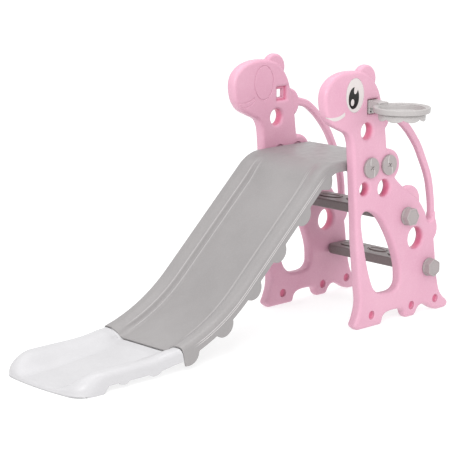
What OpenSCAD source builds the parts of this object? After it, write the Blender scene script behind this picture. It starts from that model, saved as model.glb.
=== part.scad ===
// Toddler slide: two animal-shaped side panels carry a deck, two steps, a two-part chute
// and a clip-on ball hoop. +X points to the steps, +Y to the left panel, +Z up.

/* [Side panels] */
// Length of a side panel, front foot to rear foot
panel_length = 484; // [440:1:600]
// Height of the deck surface above the floor
deck_height = 575; // [480:1:700]
// Height of the head above the deck surface
head_height = 318; // [270:1:400]
// Clear width between the two panels
clear_width = 380; // [320:1:480]
// Thickness of a side panel
panel_t = 40; // [32:1:50]
// Thickness of the ear and the round back plates, centred in the panel
plate_t = 26; // [18:1:30]
// Width of the curved grab handle at the neck
handle_w = 29; // [22:1:34]
// Width of the curved grab handle where it runs down into the panel
handle_end_w = 20; // [16:1:28]
// Diameter of the hand hole in the neck
neck_hole_d = 54; // [40:1:62]
// Diameter of the front hole below the deck
front_hole_d = 42; // [30:1:46]
// Diameter of the middle hole below the deck
middle_hole_d = 56; // [40:1:60]
// Diameter of the rear hole between the steps
rear_hole_d = 74; // [50:1:80]
// Diameter of the blind dimples above the feet
dimple_d = 29; // [20:1:34]
// Depth of the blind dimples above the feet
dimple_depth = 12; // [6:1:15]

/* [Face decals] */
// Width of the eye decal
eye_w = 85; // [50:1:90]
// Height of the eye decal
eye_h = 113; // [80:1:118]
// Width of the stroke of the smile decal
smile_w = 9; // [6:1:12]
// Thickness of a decal
decal_t = 1; // [0.5:0.1:2]
// Depth of the recess that a decal lies in
decal_recess = 1.6; // [1:0.1:3]

/* [Chute] */
// Slope of the straight part of the chute
slope = 42.8; // [32:0.1:48]
// Radius of the curve from the deck to the slope
crown_r = 140; // [100:1:200]
// Radius of the curve from the slope to the run-out
sweep_r = 612; // [400:1:700]
// Height of the rail crest above the floor at the run-out
exit_height = 64; // [56:1:90]
// Path length of the upper chute below the deck
upper_length = 868; // [760:1:930]
// Thickness of the toe at the end of the run-out
toe_t = 14; // [10:1:20]
// Bow of the toe's front edge
toe_bow = 18; // [0:1:30]
// Radius of the toe's corners, seen from above
toe_corner = 48; // [20:1:60]
// Path length of the lower chute that shows
lower_length = 422; // [360:1:560]
// Gap between the chute and each side panel
chute_gap = 1; // [0.5:0.1:3]
// Depth of the bed below the rail crest
bed_depth = 28; // [15:1:40]
// Width of each rail, from the flat bed to the outside
rail_w = 94; // [70:1:110]
// Wall thickness of the chute
chute_wall = 6; // [4:0.5:10]
// Depth of the side skirt below the rail crest
skirt_depth = 44; // [36:1:60]
// Radius of the lobes along the skirt
lobe_r = 38; // [25:1:45]
// Depth of the lobe centres below the rail crest
lobe_drop = 32; // [15:1:38]
// Distance between lobes along the chute
lobe_pitch = 153; // [110:1:200]
// Depth of the lower chute's skirt below the rail crest
low_skirt_depth = 42; // [34:1:50]
// Depth of the lobe bottoms of the lower chute below the rail crest
low_lobe_reach = 50; // [44:1:54]
// Distance between lobes along the lower chute
low_lobe_pitch = 126; // [100:1:150]
// Length of the tongue of the lower chute inside the upper chute
tongue_length = 60; // [40:1:90]
// Gap between the tongue and the upper chute
tongue_gap = 0.5; // [0.3:0.1:1]
// Diameter of the screws that join the two chutes
joint_screw_d = 6; // [4:0.5:8]

/* [Deck] */
// Depth of the deck from its front edge to its rear edge
deck_depth = 247; // [200:1:300]
// Height of the edge around the deck
deck_edge = 32; // [24:1:45]
// Drop from the deck surface to the deck screws
deck_screw_drop = 25; // [22:0.5:35]
// Wall of the bosses that the deck screws enter
boss_wall = 7; // [4:0.5:10]

/* [Deck screws] */
// Diameter of the round pocket in the panel's inner face
screw_pocket_d = 54; // [44:1:58]
// Depth of the round pocket in the panel's inner face
screw_pocket_depth = 5; // [2:0.5:8]
// Diameter of the threaded shank
deck_screw_d = 34; // [20:0.5:38]
// Length of the shank that enters the deck
deck_screw_grip = 40; // [25:1:60]
// Diameter of the flat cap
cap_d = 69; // [45:1:74]
// Thickness of the flat cap
cap_t = 10; // [6:1:16]

/* [Steps] */
// Depth of a tread, front to rear
tread_depth = 112; // [90:1:130]
// Radius of the tread's front corners
tread_front_r = 40; // [20:1:44]
// Radius of the tread's rear corners
tread_rear_r = 18; // [5:1:25]
// Thickness of a tread
tread_t = 34; // [24:1:45]
// Distance from the tread's front edge to its stud
stud_setback = 68; // [45:1:75]
// Distance from the tread's top to its stud
stud_drop = 24; // [16:1:24]
// Diameter of the threaded stud at each end of a tread
stud_d = 24; // [16:0.5:30]
// Length of the stud outside the panel
stud_reach = 18; // [12:1:20]

/* [Hand nuts] */
// Width of a hand nut across its flats
nut_w = 56; // [50:1:60]
// Length of a hand nut
nut_l = 30; // [27:1:45]
// Diameter of the round base of a hand nut
nut_base_d = 70; // [62:1:78]

/* [Ball hoop] */
// Outer diameter of the hoop rim
rim_d = 188; // [150:1:240]
// Inner diameter of the hoop rim
hoop_d = 150; // [120:1:190]
// Height of the hoop rim
rim_h = 22; // [15:1:30]
// Height of the scalloped skirt below the rim
hoop_skirt_h = 22; // [12:1:35]
// Number of lobes round the hoop skirt
hoop_lobes = 8; // [6:1:12]
// Side of the square arm plate and its socket
socket_w = 44; // [34:1:50]
// Distance from the panel to the centre of the hoop
hoop_reach = 124; // [115:1:170]
// Length of the hoop's plug inside the panel
plug_length = 26; // [20:1:30]
// Depth of the square part of the socket
socket_depth = 12; // [8:1:14]
// Side of the narrow part of the plug
tongue_w = 28; // [20:1:30]
// Wall of the scalloped skirt
hoop_skirt_t = 3; // [2:0.5:5]

/* [Fits] */
// Radial running clearance of a threaded stud in its nut
running_fit = 0.08; // [0.05:0.01:0.1]
// Radial clearance of a stud or a screw in a panel hole
hole_clearance = 0.6; // [0.4:0.1:1.5]
// Gap between faces of pieces that turn or slide on each other
face_gap = 0.4; // [0.3:0.1:1]

/* [Hidden] */

$fn = 64;
PINK = "#e3b4c9";
GREY = "#b0aca9";
WHITE = "#e8e6e8";
DARK = "#7d7170";
CREAM = "#e8e2e0";

// The panel outlines are drawn at these nominal sizes and stretched to the driving sizes
DRAWN_LENGTH = 484;
DRAWN_DECK = 575;
DRAWN_HEAD = 318;
panel_y = clear_width / 2;
half_chute = clear_width / 2 - chute_gap;
EPS = 0.01;

// Stretches a drawn height: below the deck with the deck, above it with the head
function fit_z(z) = z < DRAWN_DECK ? z * deck_height / DRAWN_DECK
    : deck_height + (z - DRAWN_DECK) * head_height / DRAWN_HEAD;
function fit(p) = [p[0] * panel_length / DRAWN_LENGTH, fit_z(p[1])];

// A smooth closed or open curve through points [x, z]; a third value of 0 marks a corner
STEPS = 6;
function wrap(p, k) = p[(k + len(p)) % len(p)];
function flat(v) = [v[0], v[1]];
function unit(v) = norm(v) < EPS ? [0, 0] : v / norm(v);
function is_corner(v) = len(v) > 2 && v[2] == 0;
function heading(p, k) = unit(flat(wrap(p, k + 1)) - flat(wrap(p, k - 1)));
function leave(p, k) = is_corner(wrap(p, k)) ? unit(flat(wrap(p, k + 1)) - flat(wrap(p, k)))
    : heading(p, k);
function arrive(p, k) = is_corner(wrap(p, k)) ? unit(flat(wrap(p, k)) - flat(wrap(p, k - 1)))
    : heading(p, k);
function hermite(a, ta, b, tb, t) = (2 * t ^ 3 - 3 * t ^ 2 + 1) * a + (t ^ 3 - 2 * t ^ 2 + t) * ta
    + (3 * t ^ 2 - 2 * t ^ 3) * b + (t ^ 3 - t ^ 2) * tb;
function span(p, k, t) = let (a = flat(wrap(p, k)), b = flat(wrap(p, k + 1)), d = norm(b - a))
    hermite(a, leave(p, k) * d, b, arrive(p, k + 1) * d, t);
function straight(p, k) = is_corner(wrap(p, k)) && is_corner(wrap(p, k + 1));
function smooth_loop(p) = [for (k = [0 : len(p) - 1]) for (i = [0 : straight(p, k) ? 0 : STEPS - 1])
    fit(span(p, k, i / STEPS))];
// An open curve: its end points count as corners
function open_ends(p) = [for (k = [0 : len(p) - 1])
    k == 0 || k == len(p) - 1 ? [p[k][0], p[k][1], 0] : p[k]];
function smooth_line(p) = let (q = open_ends(p)) concat(
    [for (k = [0 : len(q) - 2]) for (i = [0 : STEPS - 1]) span(q, k, i / STEPS)], [flat(q[len(q) - 1])]);

// Side panel outline, from the front foot up the leg, neck and head and down the back
BODY = [[140, 0, 0], [27, 0, 0], [9, 16], [18, 38], [29, 68], [33, 99], [28, 139], [16, 240], [8, 311],
    [3, 392], [-4, 493], [-12, 604], [-18, 645], [-33, 671], [-66, 688], [-112, 711], [-139, 742],
    [-151, 791], [-144, 829], [-122, 854], [-93, 869], [-57, 877], [-15, 878], [26, 873], [62, 859],
    [92, 832], [111, 804], [124, 768], [137, 719], [147, 674], [156, 607], [168, 554], [192, 511],
    [238, 468], [300, 426], [332, 400], [364, 358, 0], [370, 338], [384, 322], [398, 332], [402, 350, 0],
    [416, 354], [417, 336], [425, 314], [428, 294], [424, 274], [412, 257, 0], [418, 219], [426, 159],
    [438, 98], [450, 65], [468, 43], [487, 28], [493, 17], [488, 5], [476, 0, 0], [438, 0, 0],
    [415, 7], [395, 18], [375, 28], [357, 32], [340, 29], [328, 19], [321, 8], [312, 0, 0], [275, 0, 0],
    [266, 9], [258, 26], [240, 36], [200, 39], [168, 35], [152, 25], [146, 9]];
// Large D-shaped opening in the leg
WINDOW = [[54, 402], [86, 396], [113, 383], [135, 364], [161, 330], [190, 283], [215, 228], [227, 189],
    [231, 154], [228, 126], [205, 109], [156, 107], [125, 114], [105, 129], [94, 146], [82, 174],
    [67, 220], [49, 295], [40, 335], [35, 370], [38, 392]];
// Middle line of the grab handle
HANDLE = [[148, 722], [189, 712], [216, 703], [243, 685], [271, 661], [299, 631], [329, 592],
    [354, 547], [376, 504], [391, 465], [400, 422], [406, 382], [408, 342], [407, 300]];
// Round plates: [centre x, centre z, radius]
EAR = [53, 845, 48];
NECK_PLATE = [120, 714, 54];
DECK_PLATE = [166, 545, 56];
BACK_PLATE = [284, 408, 53];
// Hole and fastener centres
NECK_HOLE = [54, 674];
FRONT_HOLE = [46, 480];
MIDDLE_HOLE = [143, 472];
REAR_HOLE = [311, 276];
DIMPLES = [[91, 42], [296, 40], [422, 43]];
STUDS = [[260, 360], [378, 164]];
DECK_SCREW_X = [70, 158];
SOCKET = [79, 754];
EYE = [-10, 799];
SMILE = [[-136, 735], [-122, 730], [-98, 728], [-76, 733], [-62, 742]];

panel_scale = panel_length / DRAWN_LENGTH;
deck_front = -40 * panel_scale;
deck_screw_z = deck_height - deck_screw_drop;
function deck_screw_x(i) = DECK_SCREW_X[i] * panel_scale;
function stud_at(i) = fit(STUDS[i]);

module at(p) translate(fit(p)) children();
module plate_2d(c) at(c) circle(r = c[2], $fn = 96);
module handle_2d() {
    line = [for (p = smooth_line(HANDLE)) fit(p)];
    n = len(line) - 1;
    side = [for (k = [0 : n]) let (t = unit(line[min(k + 1, n)] - line[max(k - 1, 0)]),
        w = handle_w + (handle_end_w - handle_w) * k / n) [-t[1], t[0]] * w / 2];
    polygon(concat([for (k = [0 : n]) line[k] + side[k]], [for (k = [n : -1 : 0]) line[k] - side[k]]));
}
module panel_holes_2d() {
    polygon(smooth_loop(WINDOW));
    at(NECK_HOLE) circle(d = neck_hole_d);
    at(FRONT_HOLE) circle(d = front_hole_d);
    at(MIDDLE_HOLE) circle(d = middle_hole_d);
    at(REAR_HOLE) circle(d = rear_hole_d);
}
module body_2d() {
    polygon(smooth_loop(BODY));
    translate([DECK_PLATE[0] * panel_scale, deck_height + DECK_PLATE[1] - DRAWN_DECK])
        circle(r = DECK_PLATE[2], $fn = 96);
}
module plates_2d() {
    plate_2d(EAR);
    plate_2d(NECK_PLATE);
    plate_2d(BACK_PLATE);
    handle_2d();
}

// One side panel, drawn with its inner face on y = 0 and its outer face on y = panel_t
module slab(y0, y1) translate([0, y1, 0]) rotate([90, 0, 0]) linear_extrude(y1 - y0) children();
module shaft(r, y0, y1, facets = 64) translate([0, y1, 0]) rotate([90, 0, 0])
    cylinder(r = r, h = y1 - y0, $fn = facets);
module on_panel(c, z) translate([c, 0, z]) children();
function oval(c, w, h) = [for (a = [0 : 5 : 355]) fit(c) + [w / 2 * cos(a), h / 2 * sin(a)]];
module oval_2d(grow) polygon(oval(EYE, eye_w + 2 * grow, eye_h + 2 * grow));
module smile_2d(grow) {
    line = [for (p = smooth_line(SMILE)) fit(p)];
    n = len(line) - 1;
    w = smile_w / 2 + grow;
    side = [for (k = [0 : n]) let (t = unit(line[min(k + 1, n)] - line[max(k - 1, 0)])) [-t[1], t[0]] * w];
    polygon(concat([for (k = [0 : n]) line[k] + side[k]], [for (k = [n : -1 : 0]) line[k] - side[k]]));
    for (end = [line[0], line[n]]) translate(end) circle(r = w, $fn = 32);
}
module groove_2d() {
    difference() { oval_2d(3.5); oval_2d(0.5); }
    difference() { smile_2d(3); smile_2d(0.5); }
}
stud_hole_r = stud_d / 2 + hole_clearance;
deck_hole_r = deck_screw_d / 2 + hole_clearance;

module side_panel() {
    plate_y = (panel_t - plate_t) / 2;
    difference() {
        union() {
            slab(0, panel_t) difference() { body_2d(); panel_holes_2d(); }
            slab(plate_y, panel_t - plate_y) difference() { plates_2d(); panel_holes_2d(); }
        }
        for (c = DIMPLES) let (p = fit(c)) on_panel(p[0], p[1]) {
            shaft(dimple_d / 2, -1, dimple_depth);
            shaft(dimple_d / 2, panel_t - dimple_depth, panel_t + 1);
        }
        for (i = [0, 1]) let (p = stud_at(i)) on_panel(p[0], p[1]) shaft(stud_hole_r, -1, panel_t + 1);
        for (i = [0, 1]) on_panel(deck_screw_x(i), deck_screw_z) {
            shaft(deck_hole_r, -1, panel_t + 1);
            shaft(screw_pocket_d / 2, -1, screw_pocket_depth);
        }
        let (p = fit(SOCKET)) on_panel(p[0], p[1]) {
            for (y0 = [-1, panel_t - socket_depth])
                translate([0, y0 + (socket_depth + 1) / 2, 0])
                    cube([socket_w + 2 * face_gap, socket_depth + 1, socket_w + 2 * face_gap], center = true);
            translate([0, panel_t / 2, 0])
                cube([tongue_w + 2 * face_gap, panel_t, tongue_w + 2 * face_gap], center = true);
        }
        slab(panel_t - decal_recess, panel_t + 1) { oval_2d(0.5); smile_2d(0.5); }
        slab(-1, 1) groove_2d();
    }
}
module right_side_panel() color(PINK) mirror([0, 1, 0]) translate([0, panel_y, 0]) side_panel();
module left_side_panel() color(PINK) translate([0, panel_y, 0]) side_panel();

module eye_decal(side) color(CREAM) scale([1, side, 1])
    translate([0, panel_y, 0]) slab(panel_t - decal_recess, panel_t - decal_recess + decal_t) oval_2d(0);
module smile_decal(side) color(CREAM) scale([1, side, 1])
    translate([0, panel_y, 0]) slab(panel_t - decal_recess, panel_t - decal_recess + decal_t) smile_2d(0);
module eye_decal_right() eye_decal(-1);
module eye_decal_left() eye_decal(1);
module smile_decal_right() smile_decal(-1);
module smile_decal_left() smile_decal(1);

// Chute path: s runs down the rail crest from the deck's front edge
crown_s = crown_r * slope * PI / 180;
drop = deck_height - exit_height;
straight_s = (drop - (crown_r + sweep_r) * (1 - cos(slope))) / sin(slope);
sweep_start = crown_s + straight_s;
sweep_end = sweep_start + sweep_r * slope * PI / 180;
path_end = upper_length + lower_length;
sweep_x = deck_front - crown_r * sin(slope) - straight_s * cos(slope);
level_x = sweep_x - sweep_r * sin(slope);
function tilt(s) = s < 0 ? 0 : s < crown_s ? s / crown_r * 180 / PI : s < sweep_start ? slope
    : s < sweep_end ? slope - (s - sweep_start) / sweep_r * 180 / PI : 0;
function path_x(s) = s < 0 ? deck_front - s
    : s < crown_s ? deck_front - crown_r * sin(tilt(s))
    : s < sweep_start ? deck_front - crown_r * sin(slope) - (s - crown_s) * cos(slope)
    : s < sweep_end ? sweep_x - sweep_r * (sin(slope) - sin(tilt(s)))
    : level_x - (s - sweep_end);
function path_z(s) = s < 0 ? deck_height
    : s < crown_s ? deck_height - crown_r * (1 - cos(tilt(s)))
    : s < sweep_start ? deck_height - crown_r * (1 - cos(slope)) - (s - crown_s) * sin(slope)
    : s < sweep_end ? exit_height + sweep_r * (1 - cos(tilt(s)))
    : exit_height;
// The point at path position s and height n above the crest line
function on_path(s, n) = [path_x(s) - n * sin(tilt(s)), path_z(s) + n * cos(tilt(s))];

// Depth of the bed, height of the crest and wall at a path position
function ease(t) = let (u = max(0, min(1, t))) u * u * (3 - 2 * u);
BED_START = -30;
BED_FULL = 170;
toe_run = 70;
bed_half = half_chute - rail_w;
function toe_share(s) = (s - (path_end - toe_run)) / toe_run;
function crest(s) = let (u = max(0, toe_share(s)), e = 1 - sqrt(1 - min(1, u) ^ 2.6))
    -e * (exit_height - toe_t);
function bed(s) = s < upper_length ? bed_depth * ease((s - BED_START) / (BED_FULL - BED_START))
    : bed_depth + (exit_height - toe_t - bed_depth) * ease((s - upper_length) / lower_length);
function wall(s) = chute_wall + (toe_t - chute_wall) * ease((s - path_end + 2 * toe_run) / (2 * toe_run));
RIM_DROP = 15;
CREST_W = 28;
WALL_STEPS = 4;
// Half of the cross-section at s: [distance from the middle, height above the crest line]
function top_half(s) = let (c = crest(s), b = min(c, -bed(s)), in = half_chute - CREST_W, floor_n = -exit_height)
    concat([[bed_half / 2, b]], [for (k = [0 : WALL_STEPS]) let (u = k / WALL_STEPS)
        [bed_half + (in - bed_half) * u, b + (c - b) * ease(0.08 + 0.92 * u) * ease(2 * u)]],
        [[half_chute - 13, c], [half_chute - 4, c - 2.5], [half_chute, max(c - 8, floor_n + 4)],
        [half_chute, max(c - RIM_DROP, floor_n)]]);
function under_half(s) = let (c = crest(s), b = min(c, -bed(s)), w = wall(s), in = half_chute - CREST_W)
    let (floor_n = -exit_height, level = function(n) max(n, s > upper_length ? floor_n : -1000))
    concat([[bed_half / 2, level(b - w)]], [for (k = [0 : WALL_STEPS]) let (u = k / WALL_STEPS)
        [bed_half + (in - bed_half) * u, level(b + (c - b) * ease(0.08 + 0.92 * u) * ease(2 * u) - w)]],
        [[half_chute - 13, level(c - w)], [half_chute - chute_wall - 1, level(c - w - 2.5)],
        [half_chute - chute_wall - 0.5, level(c - w - 4)], [half_chute - chute_wall, level(c - RIM_DROP + 1)]]);
function mirrored(h) = [for (k = [len(h) - 1 : -1 : 0]) [-h[k][0], h[k][1]]];
// Closed section: over the top from one side to the other and back underneath
function section(s, lower, narrow) = let (t = top_half(s), u = under_half(s), c = [0, t[0][1]], d = [0, u[0][1]])
    [for (q = concat(mirrored(t), [c], t, [for (k = [len(u) - 1 : -1 : 0]) u[k]], [d], [for (p = u) [-p[0], p[1]]]))
        let (v = on_path(s, q[1] - lower), over = max(0, abs(q[0]) - half_chute + CREST_W),
            y = q[0] - sign(q[0]) * over * narrow / CREST_W,
            back = toe_inset(y) * ease(1 - (path_end - s) / (3 * toe_run)))
        [v[0] + back, y, v[1]]];
function toe_inset(y) = let (a = abs(y) / half_chute, edge = half_chute - toe_corner,
    over = max(0, abs(y) - edge)) toe_bow * a ^ 2 + toe_corner - sqrt(toe_corner ^ 2 - min(over, toe_corner) ^ 2);
module sweep(stations, lower = 0, narrow = 0) {
    rings = [for (s = stations) section(s, lower, narrow)];
    m = len(rings[0]);
    n = len(rings);
    cap = [for (k = [0 : m / 2 - 2]) [k, k + 1, m - 2 - k, m - 1 - k]];
    polyhedron(points = [for (r = rings) each r], convexity = 8, faces = concat(
        cap, [for (q = cap) [for (k = [3 : -1 : 0]) (n - 1) * m + q[k]]],
        [for (i = [0 : n - 2]) for (k = [0 : m - 1])
            let (a = i * m + k, b = i * m + (k + 1) % m) [a, a + m, b + m, b]]));
}
function evenly(a, b, n) = [for (k = [0 : n]) a + (b - a) * k / n];
upper_stations = concat([-deck_depth, BED_START], evenly(0, BED_FULL, 10), evenly(sweep_start, upper_length, 9));
lower_stations = concat(evenly(upper_length + tongue_gap, path_end - toe_run * 1.4, 7),
    [for (k = [1 : 10]) path_end - toe_run * 1.4 * (1 - k / 10) ^ 1.4]);

// Side skirt with round lobes, drawn in the plane of the path
module skirt_2d(stations, depths, lobes, drop_n) {
    last = len(stations) - 1;
    top = [for (s = stations) on_path(s, crest(s) - 6)];
    intersection() {
        polygon(concat(top, [for (k = [last : -1 : 0]) on_path(stations[k], -2.4 * skirt_depth)]));
        union() {
            polygon(concat(top, [for (k = [last : -1 : 0]) on_path(stations[k], -depths[k])]));
            for (s = lobes) translate(on_path(s, -drop_n)) circle(r = lobe_r, $fn = 96);
        }
    }
}
module skirts() for (side = [-1, 1]) scale([1, side, 1])
    slab(half_chute - chute_wall + 0.7, half_chute - 0.7) children();
upper_skirt_s = concat([1 - deck_depth, 0], evenly(crown_s / 3, crown_s, 4),
    evenly(sweep_start, upper_length - 1.5, 9));
upper_depths = [for (s = upper_skirt_s) deck_edge + (skirt_depth - deck_edge) * ease(s / crown_s)];
upper_lobes = [for (k = [0 : floor((upper_length - lobe_r / 2) / lobe_pitch - 0.53)]) lobe_pitch * (k + 0.53)];
low_skirt_s = evenly(upper_length + tongue_gap + 1, path_end - toe_run * 0.8, 8);
low_lobes = [for (k = [1 : floor((lower_length - toe_run) / low_lobe_pitch)])
    upper_length + low_lobe_pitch * (k - 0.1)];

module boss(i) {
    w = deck_hole_r + boss_wall;
    translate([deck_screw_x(i) - w, half_chute - deck_screw_grip - boss_wall, deck_screw_z - w])
        cube([2 * w, deck_screw_grip + boss_wall - 3, deck_screw_drop - chute_wall / 2 + w]);
}
module upper_chute() color(GREY) {
    screw_s = upper_length - tongue_length / 2;
    difference() {
        union() {
            sweep(upper_stations);
            skirts() skirt_2d(upper_skirt_s, upper_depths, upper_lobes, lobe_drop);
            translate([deck_front + deck_depth - chute_wall, 2 - half_chute, deck_height - deck_edge])
                cube([chute_wall - 0.5, 2 * half_chute - 4, deck_edge - chute_wall / 2]);
            for (side = [-1, 1], i = [0, 1]) scale([1, side, 1]) boss(i);
        }
        for (side = [-1, 1], i = [0, 1]) scale([1, side, 1])
            on_panel(deck_screw_x(i), deck_screw_z)
                shaft(deck_screw_d / 2 + running_fit, half_chute - deck_screw_grip, half_chute + 1, 96);
        joint_screw_holes(-bed(screw_s) - wall(screw_s) - 1, -bed(screw_s) - 2);
    }
}
module lower_chute() color(WHITE) {
    tongue_s = upper_length - tongue_length;
    drop_n = chute_wall + tongue_gap;
    difference() {
        union() {
            sweep(lower_stations);
            skirts() skirt_2d(low_skirt_s, [for (s = low_skirt_s) low_skirt_depth],
                low_lobes, low_lobe_reach - lobe_r);
            sweep(evenly(tongue_s, upper_length + tongue_gap + 5, 4), lower = drop_n, narrow = drop_n + 2);
            sweep(evenly(upper_length + tongue_gap + 1, upper_length + tongue_gap + 8, 1),
                lower = drop_n / 2, narrow = drop_n + 1);
        }
        joint_screw_holes(-bed_depth - 3 * chute_wall, -bed_depth);
    }
}
// Four screws come up through the tongue into the bed above it
screw_y = bed_half * 0.8;
module at_joint_screws() {
    s = upper_length - tongue_length / 2;
    p = on_path(s, 0);
    for (y = [-screw_y, -screw_y / 3, screw_y / 3, screw_y])
        translate([p[0], y, p[1]]) rotate([0, -tilt(s), 0]) children();
}
module joint_screw_holes(n0, n1) at_joint_screws()
    translate([0, 0, n0]) cylinder(d = joint_screw_d + 0.2, h = n1 - n0, $fn = 32);
module chute_joint_screws() color("#8a8684") {
    s = upper_length - tongue_length / 2;
    head_n = -bed(s) - 2 * chute_wall - tongue_gap;
    at_joint_screws() {
        translate([0, 0, head_n - 3.5]) cylinder(d = joint_screw_d * 2, h = 3.4, $fn = 32);
        translate([0, 0, head_n - 0.5]) cylinder(d = joint_screw_d, h = -bed(s) - 2.5 - head_n, $fn = 32);
    }
}

// Steps
tread_half = panel_y - face_gap;
module corner(x, y, r) translate([x, y]) circle(r = r, $fn = 64);
module tread_2d() {
    front = [tread_front_r, tread_half - tread_front_r];
    rear = [tread_depth - tread_rear_r, tread_half - tread_rear_r];
    for (side = [-1, 1]) {
        corner(front[0], side * front[1], tread_front_r);
        corner(rear[0], side * rear[1], tread_rear_r);
    }
    translate([0, -front[1]]) square([tread_depth, 2 * front[1]]);
    translate([front[0], -tread_half]) square([rear[0] - front[0], 2 * tread_half]);
    translate([front[0], -rear[1]]) square([tread_depth - front[0], 2 * rear[1]]);
}
module step(i) color(DARK) {
    p = stud_at(i);
    translate([p[0] - stud_setback, 0, p[1] + stud_drop - tread_t]) linear_extrude(tread_t) tread_2d();
    on_panel(p[0], p[1]) for (side = [-1, 1]) scale([1, side, 1])
        shaft(stud_d / 2, tread_half - 5, panel_y + panel_t + stud_reach);
}
module upper_step() step(0);
module lower_step() step(1);

// Hand nut: hexagon with a round base and a blind bore that the stud enters
module hand_nut(i, side) color(GREY) {
    p = stud_at(i);
    base = panel_y + panel_t + face_gap;
    nut_r = nut_w / 2 / cos(30);
    rim = 2;
    on_panel(p[0], p[1]) scale([1, side, 1]) difference() {
        union() {
            shaft(nut_base_d / 2, base, base + nut_l / 3);
            rotate([0, i * 30, 0]) shaft(nut_r, base, base + nut_l, 6);
        }
        shaft(stud_d / 2 + running_fit, base - 1, panel_y + panel_t + stud_reach + 2);
        rotate([0, i * 30, 0]) shaft(nut_r - 5, base + nut_l - rim, base + nut_l + 1, 6);
    }
}
module upper_nut_right() hand_nut(0, -1);
module upper_nut_left() hand_nut(0, 1);
module lower_nut_right() hand_nut(1, -1);
module lower_nut_left() hand_nut(1, 1);

// Deck screw: thick shank, flat cap, a slot across the cap and a small cross in the middle
module deck_screw(i, side) color(GREY) {
    base = panel_y + panel_t + face_gap;
    on_panel(deck_screw_x(i), deck_screw_z) scale([1, side, 1]) difference() {
        union() {
            shaft(cap_d / 2, base, base + cap_t);
            shaft(deck_screw_d / 2, half_chute - deck_screw_grip + face_gap, base + 1);
        }
        rotate([0, 40, 0]) for (x = [-1, 1])
            translate([x * cap_d * 0.32, base + cap_t, 0]) cube([cap_d * 0.3, 3, 4], center = true);
        for (turn = [0, 90]) rotate([0, turn, 0])
            translate([0, base + cap_t, 0]) cube([14, 3, 3], center = true);
    }
}
module deck_screw_front_right() deck_screw(0, -1);
module deck_screw_front_left() deck_screw(0, 1);
module deck_screw_rear_right() deck_screw(1, -1);
module deck_screw_rear_left() deck_screw(1, 1);

// Ball hoop on the right panel: the plug slides straight out of its socket
socket_at = fit(SOCKET);
hoop_y = -(panel_y + panel_t + hoop_reach);
hoop_top = socket_at[1] + socket_w / 2 - 9;
arm_h = rim_h + 4;
module hoop_ring() color("#d0cccb") translate([socket_at[0], hoop_y, 0]) {
    translate([0, 0, hoop_top - rim_h]) difference() {
        cylinder(d = rim_d, h = rim_h, $fn = 128);
        translate([0, 0, -1]) cylinder(d = hoop_d, h = rim_h + 2, $fn = 128);
    }
    skirt_r = hoop_d / 2 + hoop_skirt_t;
    lobe = PI * hoop_d / hoop_lobes / 2;
    intersection() {
        translate([0, 0, hoop_top - rim_h - hoop_skirt_h]) difference() {
            cylinder(r = skirt_r, h = hoop_skirt_h + 1, $fn = 128);
            translate([0, 0, -1]) cylinder(d = hoop_d, h = hoop_skirt_h + 3, $fn = 128);
        }
        union() {
            translate([0, 0, hoop_top - rim_h - hoop_skirt_h / 2]) cylinder(r = rim_d, h = hoop_skirt_h);
            for (k = [0 : hoop_lobes - 1]) rotate([0, 0, (k + 0.5) * 360 / hoop_lobes])
                translate([0, 0, hoop_top - rim_h - hoop_skirt_h + lobe]) rotate([0, 90, 0])
                    cylinder(r = lobe, h = rim_d, $fn = 64);
        }
    }
}
module hoop_arm() color("#b8b4b2") translate([socket_at[0], 0, 0]) {
    outer = -(panel_y + panel_t);
    difference() {
        union() {
            translate([-socket_w / 2, outer - 2, socket_at[1] - socket_w / 2])
                cube([socket_w, socket_depth + 2 - face_gap, socket_w]);
            translate([-tongue_w / 2, outer, socket_at[1] - tongue_w / 2])
                cube([tongue_w, plug_length, tongue_w]);
            translate([-socket_w / 2, hoop_y, socket_at[1] + socket_w / 2 - arm_h])
                cube([socket_w, -hoop_y + outer + 1, arm_h]);
        }
        translate([0, hoop_y, 0]) cylinder(d = rim_d, h = hoop_top + 2 * socket_w, $fn = 128);
    }
}

// The whole model stands on the floor with the middle of its outer box at x = y = 0
panel_ends = [for (p = smooth_loop(BODY)) p[0]];
toe_x = path_x(path_end);
heel_x = max(panel_ends);
right_y = hoop_y - rim_d / 2;
left_y = panel_y + panel_t + face_gap + nut_l;
module placed() translate([-(toe_x + heel_x) / 2, -(right_y + left_y) / 2, 0]) children();

placed() right_side_panel();
placed() left_side_panel();
placed() upper_chute();
placed() lower_chute();
placed() chute_joint_screws();
placed() upper_step();
placed() lower_step();
placed() upper_nut_right();
placed() upper_nut_left();
placed() lower_nut_right();
placed() lower_nut_left();
placed() deck_screw_front_right();
placed() deck_screw_front_left();
placed() deck_screw_rear_right();
placed() deck_screw_rear_left();
placed() hoop_ring();
placed() hoop_arm();
placed() eye_decal_right();
placed() eye_decal_left();
placed() smile_decal_right();
placed() smile_decal_left();
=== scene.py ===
import math

import bpy
import numpy as np
from mathutils import Matrix, Vector
from mathutils.kdtree import KDTree


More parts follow.
